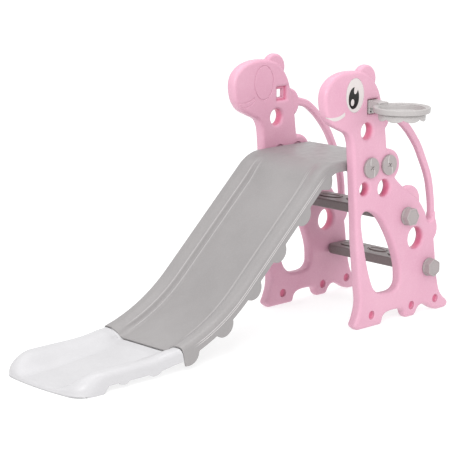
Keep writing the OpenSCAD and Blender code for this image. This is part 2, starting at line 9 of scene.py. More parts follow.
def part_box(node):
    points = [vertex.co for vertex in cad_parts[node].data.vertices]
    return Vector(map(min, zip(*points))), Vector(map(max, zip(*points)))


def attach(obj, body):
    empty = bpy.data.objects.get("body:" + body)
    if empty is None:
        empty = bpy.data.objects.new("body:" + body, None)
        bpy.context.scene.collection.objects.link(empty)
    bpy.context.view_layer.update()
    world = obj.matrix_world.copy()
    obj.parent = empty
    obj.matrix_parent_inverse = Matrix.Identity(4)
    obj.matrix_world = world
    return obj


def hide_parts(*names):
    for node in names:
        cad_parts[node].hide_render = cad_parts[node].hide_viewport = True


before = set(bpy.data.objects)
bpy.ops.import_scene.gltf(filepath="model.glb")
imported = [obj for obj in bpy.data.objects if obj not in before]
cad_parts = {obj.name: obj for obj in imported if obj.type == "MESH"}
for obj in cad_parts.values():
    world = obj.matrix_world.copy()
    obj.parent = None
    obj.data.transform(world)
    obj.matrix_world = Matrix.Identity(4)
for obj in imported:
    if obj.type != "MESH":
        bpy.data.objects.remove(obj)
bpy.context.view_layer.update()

# Shapes are worked out in millimetres, in the CAD frame, and written to Blender in metres.
MM = 1000.0
BODY = "slide_body"
WELD = 0.02
NEWTON_STEPS = 3


def box_mm(node):
    lo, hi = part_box(node)
    return np.array(lo) * MM, np.array(hi) * MM


def middle(node):
    lo, hi = box_mm(node)
    return (lo + hi) / 2


# ---------------------------------------------------------------- meshes

def add_mesh(name, points, faces, material, body, replaces=(), normals=None, tint=None):
    """A smooth-shaded mesh piece from points in mm; faces are rows of 4 indices"""
    mesh = bpy.data.meshes.new(name)
    points = np.asarray(points, float) / MM
    sizes = np.full(len(faces), faces.shape[1])
    flat = faces.ravel()
    mesh.vertices.add(len(points))
    mesh.vertices.foreach_set("co", points.ravel())
    mesh.loops.add(len(flat))
    mesh.loops.foreach_set("vertex_index", flat.astype(np.int32))
    mesh.polygons.add(len(sizes))
    mesh.polygons.foreach_set("loop_start", np.concatenate([[0], np.cumsum(sizes)[:-1]]).astype(np.int32))
    mesh.polygons.foreach_set("loop_total", sizes.astype(np.int32))
    mesh.update(calc_edges=True)
    mesh.validate()
    mesh.polygons.foreach_set("use_smooth", np.ones(len(mesh.polygons), bool))
    if normals is not None and len(mesh.vertices) == len(normals):
        mesh.normals_split_custom_set_from_vertices([tuple(n) for n in normals])
    if tint is not None:
        mesh.attributes.new("tint", "FLOAT", "POINT").data.foreach_set("value", tint.astype(np.float32))
    mesh.materials.append(material)
    piece = bpy.data.objects.new(name, mesh)
    bpy.context.scene.collection.objects.link(piece)
    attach(piece, body)
    if replaces:
        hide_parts(*replaces)


def axis_lines(lo, hi, step, fine=()):
    """Grid lines from lo to hi, step apart, closer together in each fine range (low, high, step)"""
    lines = [lo]
    while lines[-1] < hi:
        here = lines[-1]
        now = min([s for a, b, s in fine if a - s <= here <= b] + [step])
        lines.append(here + now)
    return np.array(lines)


def surface(field, ax):
    """Surface nets: points, quads and normals of the zero level of field(x, y, z) on grid lines ax"""
    grid = np.meshgrid(*ax, indexing="ij")
    v = field(*grid)
    inside = v < 0
    n = [s - 1 for s in v.shape]
    corner = [(i, j, k) for i in (0, 1) for j in (0, 1) for k in (0, 1)]
    cut = lambda a, c: a[c[0]:c[0] + n[0], c[1]:c[1] + n[1], c[2]:c[2] + n[2]]
    count = sum(cut(inside, c).astype(np.int8) for c in corner)
    mixed = (count > 0) & (count < 8)
    cell = np.full(mixed.shape, -1, np.int64)
    cell[mixed] = np.arange(mixed.sum())
    where = np.argwhere(mixed)
    total = np.zeros((len(where), 3))
    hits = np.zeros(len(where))
    values = {c: cut(v, c)[mixed] for c in corner}
    for c in corner:
        for axis in range(3):
            if c[axis]:
                continue
            d = tuple(1 if a == axis else c[a] for a in range(3))
            a, b = values[c], values[d]
            cross = (a < 0) != (b < 0)
            t = np.where(cross, a / np.where(cross, a - b, 1), 0)
            for k in range(3):
                line = ax[k]
                start = line[where[:, k] + c[k]]
                if k == axis:
                    start = start + t * (line[where[:, k] + 1] - line[where[:, k]])
                total[:, k] += np.where(cross, start, 0)
            hits += cross
    points = total / hits[:, None]
    reach = 0.5 * np.stack([np.diff(ax[k])[where[:, k]] for k in range(3)], -1).min(1)
    for _ in range(NEWTON_STEPS):
        value, slope = probe(field, points)
        move = -(value / np.maximum((slope ** 2).sum(1), 1e-6))[:, None] * slope
        length = np.linalg.norm(move, axis=1)
        points += move * np.minimum(1, reach / np.maximum(length, 1e-9))[:, None]
    quads = []
    for axis in range(3):
        u, w = (axis + 1) % 3, (axis + 2) % 3
        size = [s - 1 if a == axis else s - 2 for a, s in enumerate(v.shape)]
        at = [slice(0 if a == axis else 1, (0 if a == axis else 1) + size[a]) for a in range(3)]
        to = list(at)
        to[axis] = slice(1, 1 + size[axis])
        a, b = inside[tuple(at)], inside[tuple(to)]
        idx = np.argwhere(a != b)
        flip = a[tuple(idx.T)]
        base = idx.copy()
        base[:, u] += 1
        base[:, w] += 1
        ring = []
        for du, dw in ((1, 1), (0, 1), (0, 0), (1, 0)):
            q = base.copy()
            q[:, u] -= du
            q[:, w] -= dw
            ring.append(cell[tuple(q.T)])
        ring = np.stack(ring, -1)
        ring[~flip] = ring[~flip][:, ::-1]
        quads.append(ring)
    _, slope = probe(field, points)
    normals = slope / np.maximum(np.linalg.norm(slope, axis=1), 1e-9)[:, None]
    return points, np.concatenate(quads), normals


def probe(field, p, h=0.35):
    """Value and gradient of a field at points"""
    value = field(p[:, 0], p[:, 1], p[:, 2])
    slope = np.empty_like(p)
    for k in range(3):
        up, down = p.copy(), p.copy()
        up[:, k] += h
        down[:, k] -= h
        slope[:, k] = (field(*up.T) - field(*down.T)) / (2 * h)
    return value, slope


# ---------------------------------------------------------------- distance fields

def smooth_min(a, b, k):
    t = np.clip(0.5 + 0.5 * (b - a) / k, 0, 1)
    return b * (1 - t) + a * t - k * t * (1 - t)


def smooth_max(a, b, k):
    return -smooth_min(-a, -b, k)


def rounded(flat, deep, r):
    """Meet of a 2D distance and a depth distance, with its edge rounded to radius r"""
    a, b = flat + r, deep + r
    return np.minimum(np.maximum(a, b), 0) + np.hypot(np.maximum(a, 0), np.maximum(b, 0)) - r


def ellipse(x, z, cx, cz, rx, rz, turn=0):
    """Distance to an ellipse, near enough close to its edge"""
    c, s = math.cos(turn), math.sin(turn)
    u, w = (x - cx) * c + (z - cz) * s, -(x - cx) * s + (z - cz) * c
    q = np.hypot(u / rx, w / rz)
    g = np.hypot(u / rx ** 2, w / rz ** 2)
    return np.where(q < 1e-6, -min(rx, rz), q * (q - 1) / np.maximum(g, 1e-9))


def disc(x, z, cx, cz, r):
    return np.hypot(x - cx, z - cz) - r


def cap_outlines(node, y, tolerance=0.05):
    """Closed outlines [x, z], in mm, of the flat faces that a CAD node has in the plane y"""
    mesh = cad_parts[node].data
    co = np.empty(len(mesh.vertices) * 3)
    mesh.vertices.foreach_get("co", co)
    co = co.reshape(-1, 3) * MM
    tree = KDTree(len(co))
    for i, c in enumerate(co):
        tree.insert(c, i)
    tree.balance()
    weld = [min(i for _, i, _ in tree.find_range(c, WELD)) for c in co]
    place = {w: co[w] for w in weld}
    edges = set()
    for p in mesh.polygons:
        if all(abs(co[v][1] - y) < tolerance for v in p.vertices):
            ring = [weld[v] for v in p.vertices]
            if len(set(ring)) == len(ring):
                edges.update(zip(ring, ring[1:] + ring[:1]))
    after = {}
    for a, b in edges:
        if (b, a) not in edges and a != b:
            after.setdefault(a, []).append(b)
    loops = []
    while after:
        start = next(iter(after))
        ring, here = [], start
        while here in after:
            ring.append(here)
            nexts = after[here]
            there = nexts.pop()
            if not nexts:
                del after[here]
            here = there
        if len(ring) > 2:
            loops.append(np.array([[place[w][0], place[w][2]] for w in ring]))
    return loops


def crossings(loops, px, pz):
    """Even-odd test of points against closed outlines"""
    odd = np.zeros(px.shape, bool)
    for ring in loops:
        a, b = ring, np.roll(ring, -1, axis=0)
        for (ax, az), (bx, bz) in zip(a, b):
            if az == bz:
                continue
            span = (az > pz) != (bz > pz)
            odd ^= span & (px < (bx - ax) * (pz - az) / (bz - az) + ax)
    return odd


class Outline:
    """Signed distance, in mm, to closed outlines, sampled on a grid and read between its points"""

    def __init__(self, regions, step=2.0, margin=16.0):
        """regions is a list of loop lists: the shape is the union of the regions"""
        every = np.concatenate([r for loops in regions for r in loops])
        self.low = every.min(0) - margin
        self.step = step
        size = np.ceil((every.max(0) + margin - self.low) / step).astype(int) + 1
        gx, gz = np.meshgrid(*(self.low[k] + step * np.arange(size[k]) for k in (0, 1)), indexing="ij")
        inside = np.zeros(gx.shape, bool)
        for loops in regions:
            inside |= crossings(loops, gx, gz)
        a, b = every, np.concatenate([np.roll(r, -1, axis=0) for loops in regions for r in loops])
        if len(regions) > 1:
            keep = self.outside_edges(a, b, regions)
            a, b = a[keep], b[keep]
        flat = np.stack([gx.ravel(), gz.ravel()], -1)
        best = np.full(len(flat), 1e9)
        for k in range(0, len(a), 64):
            p, d = a[k:k + 64], (b - a)[k:k + 64]
            rel = flat[:, None, :] - p[None]
            t = np.clip((rel * d).sum(-1) / np.maximum((d * d).sum(-1), 1e-9), 0, 1)
            away = ((rel - t[..., None] * d) ** 2).sum(-1).min(1)
            best = np.minimum(best, away)
        self.grid = np.sqrt(best).reshape(gx.shape) * np.where(inside, -1, 1)

    @staticmethod
    def outside_edges(a, b, regions):
        """Edges that have the outside on one of their sides"""
        mid, d = (a + b) / 2, b - a
        side = np.stack([-d[:, 1], d[:, 0]], -1) / np.maximum(np.linalg.norm(d, axis=1), 1e-9)[:, None]
        covered = []
        for sign in (-0.4, 0.4):
            q = mid + sign * side
            hit = np.zeros(len(q), bool)
            for loops in regions:
                hit |= crossings(loops, q[:, 0], q[:, 1])
            covered.append(hit)
        return ~(covered[0] & covered[1])

    def __call__(self, x, z):
        u = np.clip((x - self.low[0]) / self.step, 0, self.grid.shape[0] - 1.001)
        w = np.clip((z - self.low[1]) / self.step, 0, self.grid.shape[1] - 1.001)
        i, j = u.astype(int), w.astype(int)
        u, w = u - i, w - j
        g = self.grid
        near = g[i, j] * (1 - u) + g[i + 1, j] * u
        far = g[i, j + 1] * (1 - u) + g[i + 1, j + 1] * u
        return near * (1 - w) + far * w


# ---------------------------------------------------------------- materials

DRIFT_SCALE, WAVE_SCALE, GLOSS_SCALE = 5.5, 16.0, 38.0
SCUFF_SCALE, SPECK_SCALE, GRAIN_SCALE = 60.0, 230.0, 900.0
GRAIN_HEIGHT, WAVE_HEIGHT, WAVE_STRENGTH = 0.0006, 0.004, 0.16
MARK_SHARE, EDGE_SHARE = 0.16, 0.35
SCUFF_STRETCH, SCUFF_TURN = (1.0, 1.0, 9.0), (0.4, 0.2, 0.7)
SPECULAR = 0.42


def plastic(name, base, deep, pale, rough=0.36, grain=0.06, mottle=1.0, painted_light=None):
    """Moulded plastic: slow colour drift, fine grain, uneven gloss, paler worn edges and light scuffs, and a
    colour of painted shade or painted highlight mixed in by the 'tint' attribute
    """
    mat = bpy.data.materials.new(name)
    mat.use_nodes = True
    nodes, links = mat.node_tree.nodes, mat.node_tree.links
    shader = nodes["Principled BSDF"]
    place = nodes.new("ShaderNodeTexCoord").outputs["Object"]

    def noise(scale, detail=3.0, rough_=0.55, stretch=None):
        node = nodes.new("ShaderNodeTexNoise")
        node.inputs["Scale"].default_value = scale
        node.inputs["Detail"].default_value = detail
        node.inputs["Roughness"].default_value = rough_
        source = place
        if stretch:
            mapping = nodes.new("ShaderNodeMapping")
            mapping.inputs["Scale"].default_value = stretch
            mapping.inputs["Rotation"].default_value = SCUFF_TURN
            links.new(place, mapping.inputs["Vector"])
            source = mapping.outputs["Vector"]
        links.new(source, node.inputs["Vector"])
        return node.outputs["Fac"]

    def span(value, lo, hi, out_lo=0.0, out_hi=1.0):
        node = nodes.new("ShaderNodeMapRange")
        node.inputs["From Min"].default_value = lo
        node.inputs["From Max"].default_value = hi
        node.inputs["To Min"].default_value = out_lo
        node.inputs["To Max"].default_value = out_hi
        links.new(value, node.inputs["Value"])
        return node.outputs["Result"]

    def mix(fac, a, b):
        node = nodes.new("ShaderNodeMix")
        node.data_type = "RGBA"
        links.new(fac, node.inputs["Factor"])
        for value, socket in ((a, "A"), (b, "B")):
            slot_ = [s for s in node.inputs if s.name == socket and s.type == "RGBA"][0]
            if isinstance(value, tuple):
                slot_.default_value = (*value, 1)
            else:
                links.new(value, slot_)
        return [s for s in node.outputs if s.type == "RGBA"][0]

    drift = span(noise(DRIFT_SCALE, 4.0), 0.33, 0.67)
    colour = mix(drift, deep, base)
    speck = span(noise(SPECK_SCALE, 2.0), 0.45, 0.75, 0.0, MARK_SHARE * mottle)
    colour = mix(speck, colour, pale)
    edge = span(nodes.new("ShaderNodeNewGeometry").outputs["Pointiness"], 0.515, 0.56, 0.0, EDGE_SHARE)
    colour = mix(edge, colour, pale)
    scuff = span(noise(SCUFF_SCALE, 6.0, 0.7, SCUFF_STRETCH), 0.66, 0.78, 0.0, MARK_SHARE * mottle)
    colour = mix(scuff, colour, pale)
    # Painted light: the 'tint' attribute mixes in painted shade (a deeper pink inside the panels' holes and
    # dimples) and painted highlight (pale lines on the chute's ridges)
    if painted_light:
        tint_ = nodes.new("ShaderNodeAttribute")
        tint_.attribute_name = "tint"
        colour = mix(tint_.outputs["Fac"], colour, painted_light)
    links.new(colour, shader.inputs["Base Color"])
    gloss = span(noise(GLOSS_SCALE, 5.0), 0.3, 0.7, rough - 0.05, rough + 0.09)
    links.new(gloss, shader.inputs["Roughness"])
    fine = nodes.new("ShaderNodeBump")
    fine.inputs["Strength"].default_value = grain
    fine.inputs["Distance"].default_value = GRAIN_HEIGHT
    links.new(noise(GRAIN_SCALE, 2.0), fine.inputs["Height"])
    slow = nodes.new("ShaderNodeBump")
    slow.inputs["Strength"].default_value = WAVE_STRENGTH
    slow.inputs["Distance"].default_value = WAVE_HEIGHT
    links.new(noise(WAVE_SCALE, 2.0), slow.inputs["Height"])
    links.new(fine.outputs["Normal"], slow.inputs["Normal"])
    links.new(slow.outputs["Normal"], shader.inputs["Normal"])
    shader.inputs["Specular IOR Level"].default_value = SPECULAR
    return mat


def srgb(r, g, b):
    """A colour given as 0-255 screen values, as linear values"""
    shares = (r / 255, g / 255, b / 255)
    return tuple(v / 12.92 if v <= 0.04045 else ((v + 0.055) / 1.055) ** 2.4 for v in shares)


# Pink plastic; its last colour is painted shade, a deeper pink laid into the panels' holes and dimples
PINK = plastic("pink_plastic", srgb(206, 157, 176), srgb(201, 149, 170), srgb(228, 194, 208),
               painted_light=srgb(206, 112, 142))
# Grey plastic; its last colour is painted highlight, pale lines laid along the chute's ridges
GREY = plastic("grey_plastic", srgb(142, 139, 139), srgb(135, 132, 132), srgb(166, 163, 163),
               painted_light=srgb(206, 202, 202))
WHITE = plastic("white_plastic", srgb(186, 185, 187), srgb(181, 180, 182), srgb(204, 203, 205))
DARK = plastic("step_plastic", srgb(118, 108, 108), srgb(109, 99, 99), srgb(156, 148, 147))
NUT = plastic("nut_plastic", srgb(156, 148, 148), srgb(148, 140, 140), srgb(186, 180, 179))
HOOP = plastic("hoop_plastic", srgb(168, 164, 163), srgb(160, 156, 155), srgb(192, 189, 188))
# A paler copy of the screw caps' plastic: painted highlight on the caps' wavy ridge
RIDGE = plastic("ridge_painted_highlight", srgb(180, 175, 174), srgb(174, 169, 168), srgb(196, 192, 191))
CREAM = plastic("decal_cream", srgb(204, 196, 195), srgb(199, 191, 190), srgb(214, 207, 206),
                rough=0.35, grain=0.02)
BLACK = plastic("decal_black", srgb(22, 20, 20), srgb(16, 15, 15), srgb(52, 50, 50),
                rough=0.3, grain=0.02, mottle=0.4)
STEEL = plastic("screw_steel", srgb(178, 176, 172), srgb(150, 148, 145), srgb(220, 218, 214), rough=0.32)
STEEL.node_tree.nodes["Principled BSDF"].inputs["Metallic"].default_value = 1.0

# ---------------------------------------------------------------- side panels

PANEL_EDGE, PLATE_EDGE = 12.0, 9.0
PLATE_HALF = 13.0
DIMPLE_DEPTH, LARGEST_DIMPLE = 10.0, 60
CAP_SEAT_R, CAP_SEAT_DEPTH, SHANK_HOLE_R = 27.0, 5.0, 17.6
EYE_GAP, EYE_DEPTH = 0.8, 1.6
WEB_HALF, WEB_DEPTH, TONGUE_HOLE_HALF = 24, 12, 14.6
LARGEST_HOLE = 100
FACE_LENGTH = 108
RIGHT, LEFT = "right_side_panel", "left_side_panel"
panel_lo, panel_hi = box_mm(RIGHT)
panel_y = (panel_lo[1] + panel_hi[1]) / 2
panel_half = (panel_hi[1] - panel_lo[1]) / 2
left_panel_y = middle(LEFT)[1]
mid_y = (panel_y + left_panel_y) / 2
outer_y, inner_y = panel_lo[1], panel_hi[1]


def within(ring, node, grow):
    lo, hi = box_mm(node)
    return ring[:, 0].min() > lo[0] - grow and ring[:, 0].max() < hi[0] + grow \
        and ring[:, 1].min() > lo[2] - grow and ring[:, 1].max() < hi[2] + grow


screws = [middle("deck_screw_front_right"), middle("deck_screw_rear_right")]
dimples = []


def nearest(points, loops):
    """Distance from 2D points to closed outlines"""
    a = np.concatenate(loops)
    d = np.concatenate([np.roll(r, -1, axis=0) for r in loops]) - a
    rel = points[:, None, :] - a[None]
    t = np.clip((rel * d).sum(-1) / np.maximum((d * d).sum(-1), 1e-9), 0, 1)
    return np.sqrt(((rel - t[..., None] * d) ** 2).sum(-1).min(1))


smile_lo, smile_hi = box_mm("smile_decal_right")
smile_rings = cap_outlines("smile_decal_right", smile_lo[1]) + cap_outlines("smile_decal_right", smile_hi[1])
body_rings = []
for ring in cap_outlines(RIGHT, outer_y):
    c, size = (ring.max(0) + ring.min(0)) / 2, ring.max(0) - ring.min(0)
    if any(within(ring, "%s_decal_right" % n, 4) for n in ("eye", "smile")):
        continue
    if c[1] < LARGEST_DIMPLE and size.max() < LARGEST_DIMPLE:
        dimples.append((c, size[0] / 2))
    elif all(np.hypot(*(c - s[[0, 2]])) > 3 or size.max() > LARGEST_DIMPLE for s in screws):
        body_rings.append(ring[nearest(ring, smile_rings) > 1.5])
plate_rings = cap_outlines(RIGHT, panel_y - PLATE_HALF)
body_flat = Outline([body_rings])
all_flat = Outline([body_rings, plate_rings])
holes = [r for r in body_rings if np.ptp(r[:, 1]) < LARGEST_HOLE]
hole_flat = Outline([holes])
eye_lo, eye_hi = box_mm("eye_decal_right")
eye = (eye_lo + eye_hi) / 2
socket = middle("hoop_arm")
eye_rx, eye_rz = (eye_hi[0] - eye_lo[0]) / 2, (eye_hi[2] - eye_lo[2]) / 2


def smile_flat(x, z):
    """Distance to the smile: a crescent, pointed in front and blunt behind"""
    u = (x - smile_lo[0]) / (smile_hi[0] - smile_lo[0])
    line = smile_lo[2] + 6.5 + (smile_hi[2] - smile_lo[2] - 10.0) * ((u - 0.46) / 0.54) ** 2
    ramp = np.clip(u / 0.45, 0, 1)
    half = 1.4 + 4.4 * ramp * ramp * (3 - 2 * ramp)
    band = np.abs(z - line) * 0.93 - half
    return smooth_max(band, np.maximum(smile_lo[0] - x, x - smile_hi[0]), 3.0)


def panel_field(x, y, z):
    """The right panel: rounded slab, thinner rounded plates and handle, dimples and recesses"""
    off = np.abs(y - panel_y)
    full = rounded(body_flat(x, z), off - panel_half, PANEL_EDGE)
    plate = rounded(all_flat(x, z), off - PLATE_HALF, PLATE_EDGE)
    f = smooth_min(full, plate, 2.0)
    for (cx, cz), r in dimples:
        f = smooth_max(f, -rounded(disc(x, z, cx, cz, r), panel_half - DIMPLE_DEPTH - off, 3.0), 3.0)
    for s in screws:
        seat = np.maximum(disc(x, z, s[0], s[2], CAP_SEAT_R), inner_y - CAP_SEAT_DEPTH - y)
        f = smooth_max(f, -seat, 1.5)
        f = smooth_max(f, -disc(x, z, s[0], s[2], SHANK_HOLE_R), 1.0)
    bed = ellipse(x, z, eye[0], eye[2], eye_rx + EYE_GAP, eye_rz + EYE_GAP)
    recess = np.maximum(bed, y - outer_y - EYE_DEPTH)
    f = smooth_max(f, -recess, 0.8)
    ring = np.abs(ellipse(x, z, eye[0], eye[2], eye_rx + 2, eye_rz + 2)) - 1.8
    f = smooth_max(f, -np.maximum(ring, inner_y - 1.9 - y), 0.8)
    square = np.maximum(np.abs(x - socket[0]), np.abs(z - socket[2]))
    web = np.maximum(square - WEB_HALF, off - panel_half + WEB_DEPTH)
    f = np.minimum(f, smooth_max(web, TONGUE_HOLE_HALF - square, 0.8))
    lip = np.abs(smile_flat(x, z) - 1.5) - 1.6
    return smooth_max(f, -np.maximum(lip, inner_y - 1.4 - y), 0.8)


coarse = 3.0
crisp = 1.3
grid = [
    axis_lines(panel_lo[0] - 4, panel_hi[0] + 4, coarse, [(eye_lo[0] - FACE_LENGTH, eye_hi[0] + 6, crisp)]),
    axis_lines(outer_y - 3, inner_y + 3, 3.0,
               [(outer_y - 3, outer_y + 4, 0.9), (inner_y - 4, inner_y + 3, 0.9)]),
    axis_lines(panel_lo[2] - 4, panel_hi[2] + 4, coarse, [(eye_lo[2] - 24, eye_hi[2] + 5, crisp)]),
]
points, quads, normals = surface(panel_field, grid)


def painted_hole_shade(p):
    """How far a point lies inside a hole or dimple of the panel, where painted shade, a deeper pink, darkens
    its inner walls
    """
    off = np.abs(p[:, 1] - panel_y)
    inside = np.clip(1.3 - np.abs(hole_flat(p[:, 0], p[:, 2])) / 7, 0, 1)
    inside = inside * np.clip((panel_half - 2 - off) / 12, 0, 1)
    for (cx, cz), r in dimples:
        near = np.clip((r + 1 - np.hypot(p[:, 0] - cx, p[:, 2] - cz)) / 3, 0, 1)
        inside = np.maximum(inside, near * np.clip((panel_half - 1 - off) / 5, 0, 1))
    return inside


# The panels' tint: painted shade in their holes and dimples
tint = painted_hole_shade(points)
mirror = np.array([1, -1, 1])
across_slide = [0, 2 * mid_y, 0]
add_mesh("side_panel_right", points, quads, PINK, BODY, (RIGHT,), normals, tint)
add_mesh("side_panel_left", points * mirror + across_slide, quads[:, ::-1], PINK, BODY,
         (LEFT,), normals * mirror, tint)

# ---------------------------------------------------------------- chute

SLOPE = math.radians(42.8)
CROWN_R, SWEEP_R = 140.0, 612.0
DECK_DEPTH, SEAM_S, END_S = 247.0, 868.0, 1290.0
EXIT_HEIGHT, TOE_T, CHUTE_WALL = 64.0, 14.0, 6.0
BED_HALF, CREST_IN, HALF = 95.0, 161.0, 189.0
BED_DEPTH, TOE_RUN, TOE_FALL = 28.0, 70.0, 105.0
TOE_BOW, TOE_CORNER = 18.0, 48.0
LOBE_R = 39.0
BED_RIDGES, BED_GROOVE = (111, 128), 119.5
WALL_RIDGES = (-18, -24.5)
CREST_OUT = 172.0
UNLIMITED = -1e3
upper_lo, upper_hi = box_mm("upper_chute")
deck_z, deck_front = upper_hi[2], upper_hi[0] - DECK_DEPTH
chute_y = (upper_lo[1] + upper_hi[1]) / 2
crown_s = CROWN_R * SLOPE
straight_s = (deck_z - EXIT_HEIGHT - (CROWN_R + SWEEP_R) * (1 - math.cos(SLOPE))) / math.sin(SLOPE)
sweep_s = crown_s + straight_s
level_s = sweep_s + SWEEP_R * SLOPE


def along(s, n):
    """x and z of the points at path positions s and heights n above the crest line"""
    s = np.asarray(s, float)
    t = np.clip(s / CROWN_R, 0, SLOPE) - np.clip((s - sweep_s) / SWEEP_R, 0, SLOPE)
    on = np.clip(s, 0, crown_s) / CROWN_R
    run = np.clip(s - crown_s, 0, straight_s)
    out = np.clip(s - sweep_s, 0, SWEEP_R * SLOPE) / SWEEP_R
    x = deck_front - np.minimum(s, 0) - CROWN_R * np.sin(on) - run * math.cos(SLOPE) \
        - SWEEP_R * (math.sin(SLOPE) - np.sin(SLOPE - out)) - np.maximum(s - level_s, 0)
    z = deck_z - CROWN_R * (1 - np.cos(on)) - run * math.sin(SLOPE) \
        - SWEEP_R * (np.cos(SLOPE - out) - math.cos(SLOPE))
    return x - n * np.sin(t), z + n * np.cos(t)


def ease(t):
    u = np.clip(t, 0, 1)
    return u * u * (3 - 2 * u)


def bump(v, at, width):
    return math.exp(-((v - at) / width) ** 2)


def lobed(s, base, centres, drop):
    """Depth of the skirt's lower edge at s: a straight edge with round lobes below it"""
    depth = base
    for c in centres:
        if abs(s - c) < LOBE_R:
            depth = max(depth, drop + math.sqrt(LOBE_R ** 2 - (s - c) ** 2))
    return depth


def chute_half(crest, bed, shoulder, skirt, ridge, soft=0.0):
    """Half of the top profile: bed, ridged inner wall, crest, shoulder and ridged outer wall"""
    foot = BED_HALF - 25 * soft
    line = [(foot * k / 4.4, bed) for k in range(5)]
    for k in range(41):
        u = k / 40
        y = foot + (CREST_IN - foot) * u
        steep = float(ease(0.08 + 0.92 * u) * ease(2 * u))
        n = bed + (crest - bed) * (steep + soft * (float(ease(u)) ** 1.1 - steep))
        pair = sum(bump(y, at, 2.4) for at in BED_RIDGES)
        n += ridge * (3.4 * pair - 2.6 * bump(y, BED_GROOVE, 4.0))
        line.append((y, n))
    line.append((CREST_IN + 6, crest))
    for k in range(9):
        a = math.pi / 2 * k / 8
        line.append((CREST_OUT + (HALF - CREST_OUT) * math.sin(a), crest - shoulder * (1 - math.cos(a))))
    top = crest - shoulder
    fine = min(0.75, (skirt + top - 1) / 40)
    rows = [top - 1 - fine * k for k in range(20)]
    rows += [rows[-1] + (-skirt - rows[-1]) * k / 16 for k in range(1, 17)]
    for n in rows:
        lift = ridge * sum(bump(n, at, 1.3) for at in WALL_RIDGES) * 1.6
        line.append((HALF + lift, n))
    return np.array(line)


def chute_shell(stations, half_of, wall_of, floor_of, shift_of, ridge_of):
    """Closed shell swept along the path: rings of top and underside points"""
    tops, unders, tints = [], [], []
    for s in stations:
        half = half_of(s)
        # Painted highlight: pale lines on the bed's two ridges and on the outer wall's ridges, passed on as
        # the tint
        painted_sheen_lines = [(0.3, at, 1.9) for at in BED_RIDGES] + [(0.8, HALF + 1.6, 0.9)]
        pale = np.array([ridge_of(s) * max(share * bump(y, at, width) for share, at, width in painted_sheen_lines)
                         for y in half[:, 0]])
        tints.append(np.concatenate([pale[:0:-1], pale]))
        step = np.gradient(half, axis=0)
        side = np.stack([step[:, 1], -step[:, 0]], -1)
        side /= np.maximum(np.linalg.norm(side, axis=1), 1e-6)[:, None]
        side[0] = (0, -1)
        under = half + side * wall_of(s) * np.where(half[:, :1] < HALF - 1, 1, CHUTE_WALL / wall_of(s))
        under[:, 0] = np.clip(under[:, 0], 0, None)
        under[-1] = (HALF - CHUTE_WALL, half[-1, 1])
        under[:, 1] = np.maximum(under[:, 1], floor_of(s))
        for out, line in ((tops, half), (unders, under)):
            full = np.concatenate([line[:0:-1] * [-1, 1], line])
            x, z = along(s, full[:, 1])
            x = x + shift_of(s, np.abs(full[:, 0]))
            out.append(np.stack([x, full[:, 0] + chute_y, z], -1))
    tops, unders = np.array(tops), np.array(unders)
    n, m = tops.shape[:2]
    points = np.concatenate([tops.reshape(-1, 3), unders.reshape(-1, 3)])
    tint = np.concatenate([np.array(tints).ravel(), np.zeros(unders.size // 3)])
    i, j = np.meshgrid(np.arange(n - 1), np.arange(m - 1), indexing="ij")
    a = (i * m + j).ravel()
    upper = np.stack([a, a + 1, a + m + 1, a + m], -1)
    lower = upper[:, ::-1] + n * m
    rows = np.arange(n - 1) * m
    left = np.stack([rows, rows + m, rows + m + n * m, rows + n * m], -1)
    last = rows + m - 1
    right = np.stack([last, last + n * m, last + m + n * m, last + m], -1)
    cols = np.arange(m - 1)
    start = np.stack([cols, cols + n * m, cols + 1 + n * m, cols + 1], -1)
    end = start[:, ::-1] + (n - 1) * m
    return points, np.concatenate([upper, lower, left, right, start, end]), tint


UPPER_LOBES = [153.0 * (k + 0.53) for k in range(6)]
LOWER_LOBES = [SEAM_S + 126.0 * (k - 0.1) for k in (1, 2, 3)]
LIP, NEST = 2.0, 5.0


def edge_drop(distance, r):
    """How far a rounded edge of radius r lies below the surface at a distance from the edge"""
    e = min(max(distance, 0.0), r)
    return r - math.sqrt(r * r - (r - e) ** 2)


def ridge_fade(s):
    return float(ease((s - 40) / 90) * ease((SEAM_S - 25 - s) / 60))


def upper_half(s):
    bed = -BED_DEPTH * float(ease((s + 30) / 200))
    base = 32.0 + 12.0 * float(ease(s / crown_s))
    drop = edge_drop(s + DECK_DEPTH, 9.0) + edge_drop(SEAM_S - s, LIP)
    half = chute_half(0.0, bed, 15.0, lobed(s, base, UPPER_LOBES, 32.0), ridge_fade(s))
    half[:, 1] -= drop
    return half


def crest_fall(s):
    u = min(max((s - END_S + TOE_FALL) / TOE_FALL, 0.0), 1.0)
    return 1 - max(0.0, 1 - u ** 2.2) ** 0.62


def lower_half(s):
    fall = crest_fall(s)
    crest = -fall * (EXIT_HEIGHT - TOE_T)
    full = EXIT_HEIGHT - TOE_T
    bed = -(BED_DEPTH + (full - BED_DEPTH) * float(ease((s - SEAM_S) / (END_S - SEAM_S))))
    shoulder = 16.0 + (6.0 - 16.0) * fall
    skirt = lobed(s, 42.0, LOWER_LOBES, 12.0)
    skirt += (EXIT_HEIGHT - skirt) * float(ease((s - END_S + 75) / 30))
    nest = NEST * (1 - float(ease((s - SEAM_S) / 45))) + edge_drop(END_S - s, 6.0)
    rise = along(s, 0)[1]
    skirt = min(skirt, float(rise / (rise - along(s, -1)[1])) - nest)
    soft = float(ease((s - SEAM_S) / 90))
    half = chute_half(min(0.0, crest), min(bed, crest), shoulder, skirt, 0.0, soft)
    half[:, 1] -= nest
    return half


def toe_shift(s, y):
    over = np.clip(y - (HALF - TOE_CORNER), 0, TOE_CORNER)
    inset = TOE_BOW * (np.minimum(y, HALF) / HALF) ** 2 + TOE_CORNER - np.sqrt(TOE_CORNER ** 2 - over ** 2)
    return inset * ease(1 - (END_S - s) / (3 * TOE_RUN))


def spaced(a, b, step):
    return list(np.linspace(a, b, max(2, int(round((b - a) / step)) + 1)))


